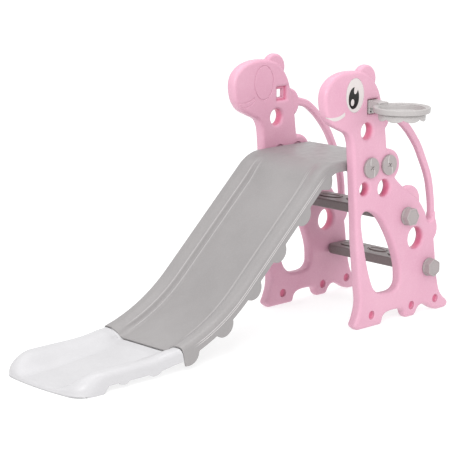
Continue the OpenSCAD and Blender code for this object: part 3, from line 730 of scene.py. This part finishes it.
fine_s = 3.5
upper_s = spaced(-DECK_DEPTH, -DECK_DEPTH + 9, 1.5)[:-1] + spaced(-DECK_DEPTH + 9, 0, 12)[:-1] \
    + spaced(0, SEAM_S - LIP, fine_s)[:-1] + spaced(SEAM_S - LIP, SEAM_S, 0.5)
lower_s = spaced(SEAM_S + 3.0, END_S - 80, fine_s)[:-1] + spaced(END_S - 80, END_S - 6, 2.5)[:-1] \
    + spaced(END_S - 6, END_S - 0.02, 0.75)
# The upper chute's tint carries its painted highlight lines
points, quads, pale = chute_shell(upper_s, upper_half, lambda s: CHUTE_WALL, lambda s: UNLIMITED,
                                  lambda s, y: 0 * y, ridge_fade)
add_mesh("upper_chute_shell", points, quads, GREY, BODY, ("upper_chute",), tint=pale)


def lower_wall(s):
    return CHUTE_WALL + (TOE_T - CHUTE_WALL) * float(ease((s - END_S + 2 * TOE_RUN) / (2 * TOE_RUN)))


def floor_line(s):
    return -float(along(s, 0)[1]) if s > level_s else UNLIMITED


points, quads, _ = chute_shell(lower_s, lower_half, lower_wall, floor_line, toe_shift, lambda s: 0.0)
add_mesh("lower_chute_shell", points, quads, WHITE, BODY, ("lower_chute",))


def tongue_half(s):
    half = chute_half(0.0, -BED_DEPTH, 15.0, 16.0, 0.0)
    return half * [1 - 8 / HALF, 1] - [0, CHUTE_WALL + 1.5]


points, quads, _ = chute_shell(spaced(SEAM_S - 40, SEAM_S + 9, 7), tongue_half, lambda s: CHUTE_WALL - 1.5,
                               lambda s: UNLIMITED, lambda s, y: 0 * y, lambda s: 0.0)
add_mesh("lower_chute_tongue", points, quads, WHITE, BODY)

# ---------------------------------------------------------------- pieces made from distance fields


def block(x, y, z, centre, half, r):
    """Distance to a box with rounded edges"""
    q = [np.abs(v - c) - h + r for v, c, h in zip((x, y, z), centre, half)]
    outside = np.sqrt(sum(np.maximum(v, 0) ** 2 for v in q))
    return outside + np.minimum(np.maximum(np.maximum(q[0], q[1]), q[2]), 0) - r


def field_piece(name, field, lo, hi, step, material, body=BODY, replaces=(), fine=None):
    """Meshes a distance field in a box that is a little larger than lo to hi"""
    fine = fine or [(), (), ()]
    pad = 1.6 * step
    ax = [axis_lines(lo[k] - pad, hi[k] + pad, step, fine[k]) for k in range(3)]
    p, q, nrm = surface(field, ax)
    add_mesh(name, p, q, material, body, replaces, nrm)


# Rear fascia of the deck and the bosses that the deck screws enter
fascia_x = upper_hi[0] - 3.5
BOSS_BORE_R = 17.1
BOSS_CLEAR = HALF - 42


def under_deck(x, y, z):
    f = block(x, y, z, (fascia_x, chute_y, deck_z - 19), (3.0, HALF - 3, 13), 2.4)
    for s in screws:
        for side in (-1, 1):
            cy = chute_y + side * (HALF - 26)
            f = np.minimum(f, block(x, y, z, (s[0], cy, deck_z - 24), (24.4, 22, 22.4), 3))
    return f


def under_deck_cut(x, y, z):
    f = under_deck(x, y, z)
    for s in screws:
        between = np.abs(y - chute_y) < BOSS_CLEAR
        f = np.maximum(f, BOSS_BORE_R - np.hypot(x - s[0], z - s[2]) + UNLIMITED * between)
    return f


field_piece("deck_underside", under_deck_cut, (deck_front + 80, chute_y - HALF, deck_z - 48),
            (upper_hi[0], chute_y + HALF, deck_z - 2), 2.6, GREY)


def tread_flat(x, y, lo, hi):
    """Distance to the tread's outline seen from above: wide round corners in front, small ones behind"""
    cx, cy = (lo[0] + hi[0]) / 2, (lo[1] + hi[1]) / 2
    r = np.where(x < cx, 26.0, 18.0)
    qx, qy = np.abs(x - cx) - (hi[0] - lo[0]) / 2 + r, np.abs(y - cy) - (hi[1] - lo[1]) / 2 + r
    return np.hypot(np.maximum(qx, 0), np.maximum(qy, 0)) + np.minimum(np.maximum(qx, qy), 0) - r


# Across, along, and the two half widths and turn of each non-slip oval, from the tread's middle
ISLANDS = ((-112, -2, 44, 23, 0.16), (0, 8, 40, 20, -0.12), (112, -2, 44, 23, 0.16))
TREAD_T, TREAD_GAP, STUD_R = 34, 0.4, 12.0


def tread_islands(x, y, lo, hi):
    """Distance to the raised non-slip ovals on the tread's top"""
    cx, cy = (lo[0] + hi[0]) / 2, (lo[1] + hi[1]) / 2
    f = np.full(np.broadcast(x, y).shape, 1e3)
    for oy, ox, ry, rx, turn_ in ISLANDS:
        f = np.minimum(f, ellipse(x, y, cx + ox, cy + oy, rx, ry, turn_))
    return f


def add_tread(name):
    lo, hi = box_mm(name)
    stud = middle(name.replace("step", "nut_right"))
    side = box_mm(LEFT)[0][1] - TREAD_GAP - chute_y
    t_lo = np.array([lo[0], chute_y - side, hi[2] - TREAD_T])
    t_hi = np.array([hi[0], chute_y + side, hi[2]])
    mid_z, half_z = hi[2] - TREAD_T / 2 - 0.6, TREAD_T / 2 - 0.6

    def field(x, y, z):
        flat = tread_flat(x, y, t_lo, t_hi)
        f = rounded(flat, np.abs(z - mid_z) - half_z, 6.0)
        islands = tread_islands(x, y, t_lo, t_hi)
        top = mid_z + half_z
        f = smooth_max(f, -np.maximum(np.abs(islands - 3.0) - 2.6, top - 2.6 - z), 1.0)
        pad = np.maximum(islands, np.abs(z - top) - 3.2)
        f = smooth_min(f, smooth_max(pad, -np.maximum(islands + 6.0, top + 1.0 - z), 1.0), 0.8)
        reach = np.abs(y - chute_y) - (hi[1] - lo[1]) / 2
        rod = np.maximum(np.hypot(x - stud[0], z - stud[2]) - STUD_R, reach)
        return smooth_min(f, rod, 1.0)

    step = 1.8
    fine = [(), (), [(mid_z + half_z - 4, mid_z + half_z + 4, 0.9)]]
    field_piece(name + "_tread", field, lo, hi, step, DARK, BODY, (name,), fine)


add_tread("upper_step")
add_tread("lower_step")


NUT_FLAT_R, NUT_FOOT_R, NUT_FOOT_T = 28.0, 31.5, 7.0
NUT_DISH_RIM, NUT_DISH_DEPTH = 4.0, 1.6
NUT_BORE_R, NUT_BORE_DEPTH = 12.1, 19.6


def add_nut(name, turn_):
    """Hexagonal hand nut with a round base, softened edges and a shallow dish in its closed face"""
    lo, hi = box_mm(name)
    c = (lo + hi) / 2
    out = -1.0 if c[1] < chute_y else 1.0
    base = c[1] - out * (hi[1] - lo[1]) / 2
    length = hi[1] - lo[1]

    def field(x, y, z):
        v = (y - base) * out
        u, w = x - c[0], z - c[2]
        hexagon = np.full(np.broadcast(u, w).shape, -1e3)
        for k in range(3):
            a = math.radians(30 + 60 * k) + turn_
            hexagon = smooth_max(hexagon, np.abs(u * math.cos(a) + w * math.sin(a)) - NUT_FLAT_R, 4.0)
        body = rounded(hexagon, np.abs(v - length / 2) - length / 2, 2.6)
        foot = rounded(np.hypot(u, w) - NUT_FOOT_R, np.abs(v - NUT_FOOT_T / 2) - NUT_FOOT_T / 2, 1.8)
        f = smooth_min(body, foot, 1.5)
        f = smooth_max(f, -np.maximum(hexagon + NUT_DISH_RIM, length - NUT_DISH_DEPTH - v), 1.0)
        return smooth_max(f, -np.maximum(np.hypot(u, w) - NUT_BORE_R, v - NUT_BORE_DEPTH), 0.5)

    step = 1.3
    field_piece(name + "_grip", field, lo, hi, step, NUT, name + "_body", (name,))


for side in ("right", "left"):
    add_nut("upper_nut_" + side, 0.0)
    add_nut("lower_nut_" + side, math.radians(30))


CAP_T, SHANK_R = 10, 17.0
GROOVE_TURN, CROSS_TURN = 0.35, 0.6
NOTCH_HALF, NOTCH_DEPTH = 3.0, 5.0
CROSS_HALF, CROSS_REACH, CROSS_DEPTH = 1.7, 9.5, 3.5


def turned(u, w, angle):
    """The same point on axes turned by an angle"""
    c, s = math.cos(angle), math.sin(angle)
    return u * c + w * s, -u * s + w * c


def add_deck_screw(name):
    """Flat round cap with an S-shaped finger groove and a small cross, on a thick shank"""
    lo, hi = box_mm(name)
    c = (lo + hi) / 2
    out = -1.0 if c[1] < chute_y else 1.0
    face = c[1] + out * (hi[1] - lo[1]) / 2
    length, cap_r = hi[1] - lo[1], (hi[0] - lo[0]) / 2

    def field(x, y, z):
        v = (face - y) * out
        u, w = x - c[0], z - c[2]
        r = np.hypot(u, w)
        cap = rounded(r - cap_r, np.abs(v - CAP_T / 2) - CAP_T / 2, 2.4)
        shank = np.maximum(r - SHANK_R, np.abs(v - length / 2) - length / 2)
        f = smooth_min(cap, shank, 0.8)
        p, _ = turned(u, w, GROOVE_TURN)
        notch = np.maximum(np.maximum(np.abs(p) - NOTCH_HALF, cap_r - NOTCH_HALF - r), v - NOTCH_DEPTH)
        f = smooth_max(f, -notch, 0.8)
        p, q = (np.abs(t) for t in turned(u, w, CROSS_TURN))
        bars = [np.maximum(a - CROSS_HALF, b - CROSS_REACH) for a, b in ((p, q), (q, p))]
        cross = np.minimum(*bars)
        return smooth_max(f, -np.maximum(cross, v - CROSS_DEPTH), 0.5)

    step = 1.5
    f0, f1 = sorted((face + out * 3, face - out * 4))
    fine = [[(c[0] - 10, c[0] + 10, 0.9)], [(f0, f1, 0.8)], [(c[2] - 10, c[2] + 10, 0.9)]]
    field_piece(name + "_cap", field, lo, hi, step, NUT, name + "_body", (name,), fine)

    def ridge(x, y, z):
        v, u, w = (face - y) * out, x - c[0], z - c[2]
        r = np.hypot(u, w)
        p, q = turned(u, w, GROOVE_TURN)
        wave = np.abs(p + 5.0 * np.sin(q / cap_r * 1.3 * math.pi)) - 2.4
        f = smooth_max(wave, np.abs(v) - 1.7, 1.2)
        return smooth_max(f, np.maximum(r - cap_r + 2.5, 10.5 - r), 1.0)

    # The wavy ridge is drawn in the paler plastic as painted highlight
    r_lo, r_hi = (lo[0], face - 2, lo[2]), (hi[0], face + 2, hi[2])
    step = 1.0
    field_piece(name + "_ridge", ridge, r_lo, r_hi, step, RIDGE, name + "_body")


for row in ("front", "rear"):
    for side in ("right", "left"):
        add_deck_screw("deck_screw_%s_%s" % (row, side))

# ---------------------------------------------------------------- ball hoop

ring_lo, ring_hi = box_mm("hoop_ring")
arm_lo, arm_hi = box_mm("hoop_arm")
hoop_x, hoop_y = (ring_lo[0] + ring_hi[0]) / 2, (ring_lo[1] + ring_hi[1]) / 2
RIM_R, HOLE_R, RIM_H, SKIRT_H = 94.0, 75.0, 19.0, 25.0
hoop_top = ring_hi[2]
LOBES = 8


def lathe(profile, count):
    """Closed ring from a closed profile of (radius, height)"""
    a = 2 * math.pi * np.arange(count) / count
    profile = np.array(profile)
    pts = np.stack([np.outer(np.cos(a), profile[:, 0]), np.outer(np.sin(a), profile[:, 0]),
                    np.tile(profile[:, 1], (count, 1))], -1)
    m = len(profile)
    i, j = np.meshgrid(np.arange(count), np.arange(m), indexing="ij")
    here, there, up = i * m, (i + 1) % count * m, (j + 1) % m
    quad = np.stack([here + j, there + j, there + up, here + up], -1)
    return pts.reshape(-1, 3), quad.reshape(-1, 4)


def rounded_loop(corners, count=5):
    """Profile through corners [radius, height, rounding], each corner an arc"""
    out = []
    n = len(corners)
    for k, (r, z, c) in enumerate(corners):
        p = np.array([r, z])
        a = np.array(corners[k - 1][:2]) - p
        b = np.array(corners[(k + 1) % n][:2]) - p
        a, b = a / np.linalg.norm(a), b / np.linalg.norm(b)
        for i in range(count + 1):
            t = i / count
            out.append(p + c * ((1 - t) ** 2 * a + t ** 2 * b))
    return out


rim = rounded_loop([(HOLE_R, 0, 1.2), (RIM_R - 2, 0, 3.5), (RIM_R, RIM_H, 3.5), (RIM_R - 9, RIM_H, 2.5),
                    (RIM_R - 11, RIM_H - 2.5, 1.5), (HOLE_R + 3, RIM_H - 2.5, 2.5), (HOLE_R, RIM_H - 7, 3)])
pts, quad = lathe(rim, 160)
pts += [hoop_x, hoop_y, hoop_top - RIM_H]
add_mesh("hoop_rim", pts, quad, HOOP, "hoop_body", ("hoop_ring",))


def hoop_skirt():
    """Thin round skirt under the rim whose lower edge hangs in round scallops"""
    count = 320
    a = 2 * math.pi * np.arange(count) / count
    wave = np.abs(np.sin(a * LOBES / 2)) ** 0.7
    bottom = -SKIRT_H * (0.62 + 0.37 * wave)
    rows = []
    for r0, share in ((HOLE_R + 2.8, 0.0), (HOLE_R + 2.6, 0.5), (HOLE_R + 2.2, 0.94), (HOLE_R + 1.2, 1.0),
                      (HOLE_R + 0.4, 0.94), (HOLE_R + 0.2, 0.5), (HOLE_R + 0.2, 0.0)):
        rows.append(np.stack([r0 * np.cos(a), r0 * np.sin(a), 1.5 + (bottom - 1.5) * share], -1))
    rows = np.array(rows).transpose(1, 0, 2)
    m = rows.shape[1]
    i, j = np.meshgrid(np.arange(count), np.arange(m), indexing="ij")
    here, there, up = i * m, (i + 1) % count * m, (j + 1) % m
    q = np.stack([here + j, here + up, there + up, there + j], -1)
    return rows.reshape(-1, 3) + [hoop_x, hoop_y, hoop_top - RIM_H], q.reshape(-1, 4)


pts, quad = hoop_skirt()
add_mesh("hoop_skirt", pts, quad, HOOP, "hoop_body")


def arm_field(x, y, z):
    """Square plug in the socket, and the arm that widens into the rim"""
    mid_x, face = (arm_lo[0] + arm_hi[0]) / 2, outer_y
    top, low = arm_hi[2], arm_lo[2]
    plug = block(x, y, z, (mid_x, face + 4.6, (top + low) / 2), (22.0, 6.4, 22.0), 1.2)
    tongue = block(x, y, z, (mid_x, face + 13, (top + low) / 2), (14.0, 13.0, 14.0), 1.2)
    reach = face - hoop_y
    share = np.clip((face - y) / reach, 0, 1)
    wide = 21.0 + 16.0 * share ** 2
    bottom = top - 24.0 + 1.0 * share
    arm = np.maximum(np.abs(x - mid_x) - wide, np.maximum(z - top + 1.0 + 7.5 * share, bottom - z))
    arm = smooth_max(arm, y - face - 1.0, 2.0)
    arm = smooth_max(arm, HOLE_R + 6 - np.hypot(x - hoop_x, y - hoop_y), 2.0)
    pocket = block(x, y, z, (mid_x, face, low + 12.5), (17.0, 9.0, 9.0), 1.0)
    hook = block(x, y, z, (mid_x - 4.0, face + 3, low + 12.5), (3.0, 6.0, 10.0), 1.0)
    plug = smooth_min(smooth_max(plug, -pocket, 0.8), hook, 0.6)
    return smooth_min(smooth_min(plug, tongue, 0.6), arm, 1.5)


arm_step = 1.5
field_piece("hoop_arm_bracket", arm_field, (arm_lo[0] - 14, hoop_y + 50, arm_lo[2]),
            (arm_hi[0] + 14, arm_hi[1], arm_hi[2]), arm_step, HOOP, "hoop_body", ("hoop_arm",))

# ---------------------------------------------------------------- face decals

def inlay(name, shape, depth, lift, material, node, step, replaces=()):
    """A thin piece in the outer face of both panels: shape(x, z) is its 2D distance"""
    lo, hi = box_mm(node)
    surface_y = outer_y - lift

    def field(x, y, z):
        skin = panel_skin(x, y, z) - lift
        thin = rounded(shape(x, z), np.abs(skin + depth / 2) - depth / 2, min(0.4, depth / 2))
        return smooth_max(thin, y - outer_y - 14, 0.4)

    ax = [axis_lines(lo[0] - 24, hi[0] + 4, step),
          axis_lines(surface_y - 2, outer_y + 12, 1.2, [(outer_y - 2, outer_y + 4, 0.5)]),
          axis_lines(lo[2] - 4, hi[2] + 4, step)]
    p, q, nrm = surface(field, ax)
    add_mesh(name + "_right", p, q, material, BODY, tuple(r + "_right" for r in replaces), nrm)
    add_mesh(name + "_left", p * mirror + across_slide, q[:, ::-1], material, BODY,
             tuple(r + "_left" for r in replaces), nrm * mirror)


def panel_skin(x, y, z):
    """The panel's outer skin without its recesses"""
    return rounded(body_flat(x, z), np.abs(y - panel_y) - panel_half, PANEL_EDGE)


def eye_white(x, z):
    return ellipse(x, z, eye[0], eye[2], eye_rx, eye_rz)


def pupil(x, z):
    """Dark leaf shape with two light reflections left out of it"""
    f = ellipse(x, z, eye[0] - 6.5, eye[2] - 8.5, 25.0, 36.0, -0.1)
    shine = ellipse(x, z, eye[0] + 3.0, eye[2] + 19.0, 8.5, 15.0, -0.3)
    glint = ellipse(x, z, eye[0] - 12.5, eye[2] - 22.0, 8.0, 11.0, -0.1)
    return np.maximum(f, -np.minimum(shine, glint))


inlay_step = 1.2
inlay("eye_white", eye_white, 1.4, -0.1, CREAM, "eye_decal_right", inlay_step, ("eye_decal",))
inlay("pupil", pupil, 0.8, 0.35, BLACK, "eye_decal_right", inlay_step)
inlay("smile", smile_flat, 1.8, 0.7, CREAM, "smile_decal_right", inlay_step, ("smile_decal",))

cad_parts["chute_joint_screws"].data.materials.clear()
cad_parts["chute_joint_screws"].data.materials.append(STEEL)

# ---------------------------------------------------------------- camera, light, floor

PHOTO_CAMERA = dict(place=(-4.0677, -4.1187, 1.6388), yaw=0.76258, pitch=-0.21175, roll=0.00111, lens=146.59)
yaw, pitch, roll = (PHOTO_CAMERA[k] for k in ("yaw", "pitch", "roll"))
ahead = Vector((math.sin(yaw) * math.cos(pitch), math.cos(yaw) * math.cos(pitch), math.sin(pitch)))
across = Vector((math.cos(yaw), -math.sin(yaw), 0))
upward = across.cross(ahead)
across, upward = (across * math.cos(roll) + upward * math.sin(roll),
                  upward * math.cos(roll) - across * math.sin(roll))
camera = bpy.data.objects.new("camera", bpy.data.cameras.new("camera"))
bpy.context.scene.collection.objects.link(camera)
turn = Matrix((across, upward, -ahead)).transposed().to_4x4()
camera.matrix_world = Matrix.Translation(PHOTO_CAMERA["place"]) @ turn
camera.data.sensor_width = 36.0
camera.data.lens = PHOTO_CAMERA["lens"]
camera.data.clip_start, camera.data.clip_end = 0.1, 100.0
bpy.context.scene.camera = camera


def area_light(name, place, aim, size, power):
    light = bpy.data.lights.new(name, "AREA")
    light.shape, light.size, light.energy = "DISK", size, power
    obj = bpy.data.objects.new(name, light)
    bpy.context.scene.collection.objects.link(obj)
    obj.location = place
    obj.rotation_euler = (Vector(aim) - Vector(place)).to_track_quat("-Z", "Y").to_euler()


area_light("key", (-3.4, -2.4, 3.0), (0, 0, 0.4), 2.2, 110)
area_light("fill", (0.6, -4.4, 2.0), (0, 0, 0.4), 3.0, 20)
area_light("top", (0.5, 0.5, 4.5), (0, 0, 0), 4.0, 70)

WORLD_STRENGTH = 1.04
FLOOR_HALF, FLOOR_DROP = 30.0, 0.0005
FLOOR_GLOW, FLOOR_GREY = 0.72, 0.4
world = bpy.data.worlds.new("studio")
bpy.context.scene.world = world
world.use_nodes = True
world.node_tree.nodes["Background"].inputs["Color"].default_value = (1, 1, 1, 1)
world.node_tree.nodes["Background"].inputs["Strength"].default_value = WORLD_STRENGTH

floor_mesh = bpy.data.meshes.new("floor")
corners = [(i * FLOOR_HALF, j * FLOOR_HALF, 0) for i, j in ((-1, -1), (1, -1), (1, 1), (-1, 1))]
floor_mesh.from_pydata(corners, [], [(0, 1, 2, 3)])
floor = bpy.data.objects.new("floor", floor_mesh)
floor.location.z = -FLOOR_DROP
bpy.context.scene.collection.objects.link(floor)
floor_mat = bpy.data.materials.new("floor_paper")
floor_mat.use_nodes = True
floor_shader = floor_mat.node_tree.nodes["Principled BSDF"]
floor_shader.inputs["Base Color"].default_value = (FLOOR_GREY, FLOOR_GREY, FLOOR_GREY, 1)
floor_shader.inputs["Emission Color"].default_value = (1, 1, 1, 1)
floor_shader.inputs["Emission Strength"].default_value = FLOOR_GLOW
floor_shader.inputs["Roughness"].default_value = 0.9
floor_shader.inputs["Specular IOR Level"].default_value = 0.0
floor_mesh.materials.append(floor_mat)
bpy.context.scene.view_settings.view_transform = "Standard"
